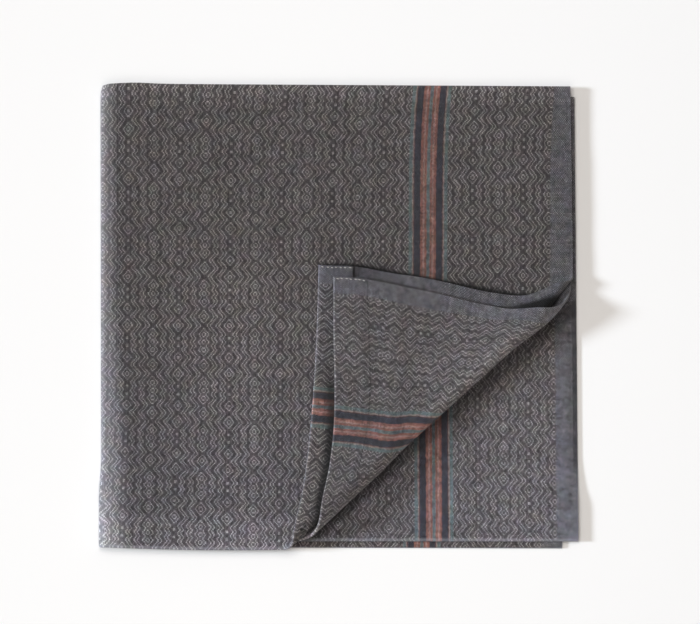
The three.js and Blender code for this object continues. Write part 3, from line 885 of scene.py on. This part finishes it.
def painted_shade_above_selvedge(at):
    """Painted shade on the top layer, above the selvedge that is turned back over it."""
    dark = SHADE_ABOVE_SELVEDGE
    start, end = dark.slopes
    above = dark.down + (at.across.within(start, end) - start) * dark.slope - at.along
    near = abs(above).fall(*dark.width) * dark.shade
    far = above.fall(*dark.reach) * at.on_front * (1 - at.along.above(dark.lowest))
    shade = near + far * dark.far_shade
    return shade * at.across.rise(*dark.starts) * at.across.fall(*dark.ends)


def dark_on_back(at):
    """Painted shade inside the curl, and darker near the hem's seam."""
    dark = SHADE_IN_CURL
    curl = at.along.fall(*dark.down) * at.on_front * at.across.above(dark.past)
    curl = curl * (HALF_WIDTH - at.across).rise(*dark.from_selvedge) * dark.shade
    return curl + at.along.rise(*BACK_BY_SEAM.between) * BACK_BY_SEAM.shade


def pale_by_layer(at):
    """How pale each layer is, and more so towards its hem and on it. The rise towards the hems, most on the
    third layer, is painted light.
    """
    on_hem = at.hemwards.rise(*ON_HEM) * at.on_right * (1 - at.on_second)
    pale = 1 + at.lower * (at.on_third * PALER.third + PALER.hemwards) + at.on_second * PALER.second
    pale = pale * (1 + on_hem * PALER.hem)
    outwards = at.from_fold.rise(*THIRD_OUTWARDS.between) * THIRD_OUTWARDS.more
    pale = pale * (1 - at.on_third * (1 - THIRD_OUTWARDS.least - outwards))
    inwards = at.from_fold.fall(*SECOND_DARKER.between)
    return pale * (1 - inwards * at.on_second * SECOND_DARKER.by)


def paler_folds_and_highlight(at):
    """How much paler the cloth is along its two folds, and how far the left one is mixed towards white. Along
    the left fold this is a painted highlight.
    """
    highlight = LEFT_FOLD_HIGHLIGHT
    wider = at.hemwards.rise(*highlight.widens) * highlight.wider_at_hem + 1
    by_fold = (at.from_fold / wider).fall(0, highlight.width)
    more = 1 + at.hemwards.rise(*highlight.grows) * highlight.more_at_hem
    by_top_fold = at.hemwards.fall(0, TOP_FOLD_PALER.width) * TOP_FOLD_PALER.paler
    return (1 + by_fold * more * highlight.paler) * (1 + by_top_fold), by_fold * highlight.whiter


# The back's tone, with its painted light and shade
def back_tone_and_painted_light(at):
    pale, whiter = paler_folds_and_highlight(at)
    # Painted shade at the hem's gape
    far, near = GAPE_SHADE.from_selvedge
    gape = at.from_fold.rise(HALF_WIDTH - far, HALF_WIDTH - near) * GAPE_SHADE.shade
    gape = gape * at.from_seam.fall(*GAPE_SHADE.width)
    # Painted shade beside the second layer's selvedge
    by_second = (HALF_WIDTH - at.from_fold).rise(*SHADE_BY_SECOND.width) * SHADE_BY_SECOND.shade
    pale = pale * pale_by_layer(at) * (1 - dark_on_back(at)) * (1 - gape) * (1 - by_second)
    return pale * BACK_TONE, COOL.back, whiter


# The face's tone and marks, with their painted light and shade
def face_tone_and_painted_light(at):
    # Painted shade by the hem, above the turned-back selvedge and under the roll
    light = 1 - painted_shade_by_hem(at) - painted_shade_above_selvedge(at) - painted_shadow_under_roll(at)
    pale, whiter = paler_folds_and_highlight(at)
    pale = pale * pale_by_layer(at) * light

    # Paler down the left, dark at the seam, and painted shade on the edge that hangs down
    paler_left = abs(at.across - LEFT_PALER.at).fall(0, LEFT_PALER.reach)
    paler_left = paler_left * at.along.rise(*LEFT_PALER.between)
    edge = HALF_WIDTH - HANGING_EDGE_SHADE.width
    hanging_shade = at.from_fold.rise(edge - 0.5, edge) * at.hemwards.rise(*HANGING_EDGE_SHADE.between)
    hanging_shade = hanging_shade * at.on_third * at.hemwards.fall(*HANGING_EDGE_SHADE.ends) * HANGING_EDGE_SHADE.shade
    seam = at.from_seam.fall(*HEM_SEAM_DARKER.width) * at.on_second * HEM_SEAM_DARKER.shade
    pale = pale * (1 - seam) * (1 + paler_left * LEFT_PALER.paler) * (1 - hanging_shade)

    # Painted light where the second layer turns back, and painted highlights on the turned edges of the hems
    corner, normal, depth = crease_on_sheet("second")
    past = (at.across - corner.x) * normal.x + (at.along - corner.y) * normal.y + depth
    pale = pale * (1 + past.fall(*CREASE_HIGHLIGHT.between) * at.on_second * CREASE_HIGHLIGHT.paler)
    on_corner = at.across.rise(*CORNER)
    highlight = HEM_EDGE_HIGHLIGHT.left + on_corner * (HEM_EDGE_HIGHLIGHT.corner - HEM_EDGE_HIGHLIGHT.left)
    pale = pale * (1 + at.hemwards.rise(HEM_TURN - 2, HEM_TURN) * highlight)
    on_ply = on_corner * at.hemwards.rise(HEM_TURN - 0.5, HEM_TURN + 0.5) * HEM_EDGE_HIGHLIGHT.on_ply
    on_ply = on_ply * at.hemwards.fall(HEM_PLY_START - 0.4, HEM_PLY_START + 1.4)

    turned_in = at.hemwards.rise(*TURNED_IN)
    tone = TURNED_IN_TONE.right + at.on_left * (TURNED_IN_TONE.left - TURNED_IN_TONE.right)
    pale = (pale * (1 - turned_in) + turned_in * tone * light) * (1 + on_ply)
    # Painted highlight on the rim of the hems' turned edges
    rim = at.hemwards.rise(HEM_TURN - 1.4, HEM_TURN - 0.4) * (1 - on_corner) * (1 - turned_in)
    cooler = at.lower * (1 - turned_in) + at.on_second * COOL.second
    cooler = cooler + turned_in * at.across.rise(*COOL.between) * COOL.turned_in
    cooler = cooler + at.from_fold.fall(*COOL.from_fold) * COOL.by_fold
    return pale, cooler, whiter + on_ply * HEM_EDGE_HIGHLIGHT.whiter + rim * HEM_EDGE_HIGHLIGHT.rim_whiter


# Painted shade between threads and painted light on their round tops, times their own random tone
def thread_light(kind, roundness, of_thread, of_crossing):
    uneven = kind.least + of_thread * kind.by_thread + of_crossing * kind.by_crossing
    return (kind.deep + roundness * kind.round) * uneven


def woven(name, back):
    """The cloth's weave, drawn thread by thread on the sheet's own flat places. The back shows the other
    side of it: there the weft lies on top one half repeat later."""
    nodes = Nodes(name)
    place, across, along = nodes.place_in_weave()
    across = abs(across)

    # Threads: which one, and where across it
    end_place = across / END
    pick_place = along / PICK
    end = end_place.floor()
    pick = pick_place.floor()
    off_end = (end_place - end - 0.5) * 2
    off_pick = (pick_place - pick - 0.5) * 2

    # Threading and treadling
    after = across.above(STRIPE_MIDDLE)
    start = THREADING_START + after * (THREADING_AFTER_STRIPE - THREADING_START)
    threaded = ((across - start) / END).floor() + 0.5
    threading = threaded.math("PINGPONG", THREADING_POINT)
    treadled = (((along - TREADLING_START) / PICK).floor() + 0.5) % sum(abs(run) for run in TREADLING)
    treadling = 0
    done = 0
    for run in TREADLING:
        treadling = treadling + (treadled - done).within(0, abs(run)) * math.copysign(1, run)
        done += abs(run)
    step = (threading + treadling + (SHAFTS / 2 if back else 0)) % SHAFTS
    step = (step + 0.5).floor() % SHAFTS
    patterned = sum((step.near(raised, 0.25) for raised in RAISED_WEFT), 0)
    in_stripe = 1 - abs(across - STRIPE_MIDDLE).above(STRIPE_HALF)
    in_band = across.above(BAND_EDGE)
    plain = in_stripe.math("MAXIMUM", in_band)
    tabby = (end + pick) % 2
    weft_up = patterned * (1 - plain) + tabby * plain

    # Thread shapes
    warp_round = 1 - off_end * off_end
    weft_round = (1 - off_pick * off_pick) * (1 - off_end * off_end * WEFT_DIP)
    weft_height = weft_round * WEFT_HEIGHT.more + WEFT_HEIGHT.least
    height = warp_round * WARP_HEIGHT * (1 - weft_up) + weft_height * weft_up

    # Unevenness: of each thread, of each crossing, and in patches
    of_end = nodes.random("1D", {"W": end + 0.5})
    of_pick = nodes.random("1D", {"W": pick + 0.5})
    of_crossing = nodes.random("3D", {"Vector": nodes.add("CombineXYZ", None, {0: end, 1: pick})})
    uneven = 1
    for kind in (SLUB, PATCH):
        uneven = (kind.least + nodes.noise(place, kind.scale, kind.detail) * kind.more) * uneven
    tint = nodes.noise(place, TINT_SCALE, 3.0, output=1)
    tint = nodes.vector("MULTIPLY", tint, TINT)
    tint = nodes.vector("SUBTRACT", nodes.vector("ADD", tint, (1, 1, 1)), TINT_MIDDLE)

    # Colours
    stripe_share = abs(across - STRIPE_MIDDLE) / STRIPE_HALF
    stops = [(distance / STRIPE_HALF, colour) for distance, colour in STRIPE_ENDS]
    stripe_colour = nodes.add("ValToRGB", {"stops": stops}, {0: stripe_share})
    beside = sum((step.near(raised, 1.25) for raised in RAISED_WEFT), 0)
    warp = nodes.mix(beside * SHOWS_THROUGH, WARP, WEFT)
    warp = nodes.mix(in_band, warp, BAND_WARP)
    warp = nodes.mix(in_stripe, warp, stripe_colour)
    weft = nodes.mix(in_band, WEFT, BAND_WEFT)
    weft = nodes.mix(in_stripe * STRIPE_WEFT, weft, stripe_colour)
    at = Place(nodes)
    paleness, cooler, whiter = (back_tone_and_painted_light if back else face_tone_and_painted_light)(at)
    warp_light = thread_light(WARP_LIGHT, warp_round, of_end, of_crossing)
    weft_light = thread_light(WEFT_LIGHT, weft_round, of_pick, of_crossing)
    warp = nodes.tinted(warp, warp_light * uneven * paleness)
    weft = nodes.tinted(weft, weft_light * uneven * paleness)
    softer = (1 - at.on_front) * SOFTER_BEHIND.share
    colour = nodes.mix(weft_up * (1 - softer) + softer * SOFTER_BEHIND.between, warp, weft)
    # Painted highlights on the left fold and on the hems' turned edges, mixed towards white
    colour = nodes.mix(whiter, colour, HIGHLIGHT_WHITE)
    hue = nodes.mix(cooler, WARM_HUE, COOL_HUE)
    for shade in (tint, hue):
        colour = nodes.multiply(colour, shade)
    return nodes.finish(colour, height, depth=0.18, roughness=0.95, sheen=0.12)


def edge_of_cloth():
    """Selvedges and raw edges seen edge on: loops of weft round the last ends."""
    nodes = Nodes("cloth edge")
    place, across, along = nodes.place_in_weave()
    loop = (along / PICK / 2) % 1
    ribs = 1 - abs(loop - 0.5) * 2
    ends = 1 - abs((across / END) % 1 - 0.5) * 2
    height = ribs * 0.7 + ends * 0.3
    slub = nodes.noise(place, 300.0, 2.0)
    # Painted shade: darker in the hollows between the weft loops and the ends
    colour = nodes.tinted(EDGE, 0.55 + height * 0.7 + slub * 0.3)
    return nodes.finish(colour, height, depth=0.2, roughness=0.95, sheen=0.12)


def thread(name, colour):
    """Sewing thread: fine twisted cotton."""
    nodes = Nodes(name)
    place = nodes.add("TexCoord", None, None, output=3)
    twist = nodes.noise(place, 2500.0, 1.0)
    # Painted shade: darker where the twist's bump is low
    colour = nodes.tinted(colour, 0.75 + twist * 0.5)
    return nodes.finish(colour, twist, depth=0.05, roughness=0.7, sheen=0.1)


# --- Room and camera ---
LENS = 300
SENSOR = 36
VIEW_WIDTH = 0.3684
VIEW_CENTRE = Vector((0.00595, 0.0023, 0.0056))
WARM_LIGHT = (1.03, 1.0, 0.96)
COOL_LIGHT = (0.91, 1.0, 1.1)


def make_camera():
    """Straight above the cloth, from far away."""
    data = bpy.data.cameras.new("camera")
    data.lens = LENS
    data.sensor_width = SENSOR
    data.clip_end = 20
    camera = add_object("camera", data)
    camera.location = VIEW_CENTRE + Vector((0, 0, VIEW_WIDTH * LENS / SENSOR))
    bpy.context.scene.camera = camera


def make_light(name, kind, place, colour, **settings):
    """A light, pointed at the cloth."""
    data = bpy.data.lights.new(name, kind)
    data.color = colour
    for key, value in settings.items():
        setattr(data, key, value)
    light = add_object(name, data)
    light.location = place
    light.rotation_euler = (-Vector(place)).to_track_quat("-Z", "Y").to_euler()


def make_room():
    """A pale table top, soft light all round, and low light from a window on the left."""
    bm = bmesh.new()
    bmesh.ops.create_grid(bm, x_segments=1, y_segments=1, size=3)
    nodes = Nodes("pale table")
    shader = nodes.add("BsdfPrincipled", None, {"Base Color": (0.9, 0.895, 0.89, 1), "Roughness": 0.9})
    nodes.add("OutputMaterial", None, {0: shader})
    table_top = add_mesh(bm, "table_top", [nodes.material])
    table_top.location.z = CAD_LOW.z
    world = bpy.data.worlds.new("soft white")
    world.use_nodes = True
    background = world.node_tree.nodes["Background"]
    background.inputs["Color"].default_value = (1, 0.905, 0.84, 1)
    background.inputs["Strength"].default_value = 0.22
    bpy.context.scene.world = world
    make_light("window", "SUN", (-2.7, 0.1, 1.17), COOL_LIGHT, angle=math.radians(10), energy=2.85)
    make_light("ceiling", "AREA", (-0.15, 0.4, 1.5), WARM_LIGHT, shape="DISK", size=1.0, energy=10.9)
    make_light("lamp", "AREA", (-0.05, -0.35, 0.6), WARM_LIGHT, shape="DISK", size=0.5, energy=0.85)
    bpy.context.scene.view_settings.view_transform = "Standard"


# --- Making it ---
def centre_on_solid(pieces):
    """Moves the pieces' meshes so that the cloth, the first of them, lies where the solid does."""
    corners = [vert.co for vert in pieces[0].data.vertices]
    low, high = (Vector(pick(corner[k] for corner in corners) for k in range(3)) for pick in (min, max))
    shift = (CAD_LOW + CAD_HIGH - low - high) / 2
    shift.z = CAD_LOW.z - low.z
    for piece in pieces:
        for vert in piece.data.vertices:
            vert.co += shift


make_room()
make_camera()
folded_cloth = make_cloth(woven("weave", False), woven("weave back", True), edge_of_cloth())
whip_stitches = make_whip_stitches(thread("pale thread", (0.62, 0.60, 0.56)))
hemming = make_hemming(thread("grey thread", (0.055, 0.053, 0.056)))
centre_on_solid([folded_cloth, whip_stitches, hemming])
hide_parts("cloth")
2 * SHEET_HALF * MM
